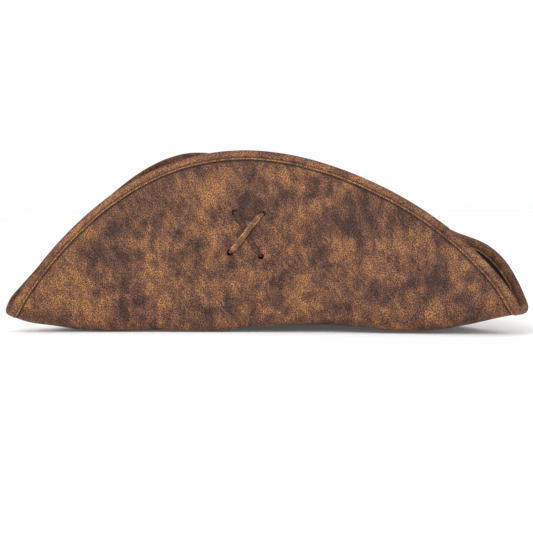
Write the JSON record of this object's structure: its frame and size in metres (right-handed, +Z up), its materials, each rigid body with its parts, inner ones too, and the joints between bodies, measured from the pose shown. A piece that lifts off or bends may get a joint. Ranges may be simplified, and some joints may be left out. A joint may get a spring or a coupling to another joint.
{
  "type": "pirate hat",
  "caption": "Three-cornered pirate hat of distressed brown faux suede: stiffened brim laced up at the sides with crossed thongs, bound edge, soft crown and inner sweatband.",
  "frame": {"origin": "centre of the hat's outline, on the surface that it rests on", "axes": "+Z up, the wearer looks along -Y with the single corner in front, and the wearer's left is +X"},
  "size_m": [0.4166, 0.395, 0.1541],
  "materials": {
    "distressed_suede": "matt mottled faux suede",
    "binding_suede": "matt faux suede strip",
    "lace_suede": "matt faux suede thong",
    "dark_reverse_cloth": "matt dark brown faux suede",
    "stiffener_felt": "stiff pressed felt",
    "lining_cloth": "thin woven lining",
    "sweatband_cloth": "ribbed band",
    "wire_steel": "drawn wire",
    "sewing_thread": "twisted thread"
  },
  "bodies": {
    "root": {"binding_thread_inner": "sewing_thread", "binding_thread_outer": "sewing_thread", "brim_binding": "binding_suede", "brim_inner_cloth": "dark_reverse_cloth", "brim_outer_cloth": "distressed_suede", "brim_stiffener": "stiffener_felt", "brim_wire": "wire_steel", "crown_side_left": "distressed_suede", "crown_side_right": "distressed_suede", "crown_side_stiffener": "stiffener_felt", "crown_tip": "distressed_suede", "crown_tip_stiffener": "stiffener_felt", "lace_left": "lace_suede", "lace_right": "lace_suede", "lining_side": "lining_cloth", "lining_tip": "lining_cloth", "sweatband": "sweatband_cloth", "sweatband_thread": "sewing_thread", "wire_joiner": "wire_steel"}
  },
  "joints": []
}
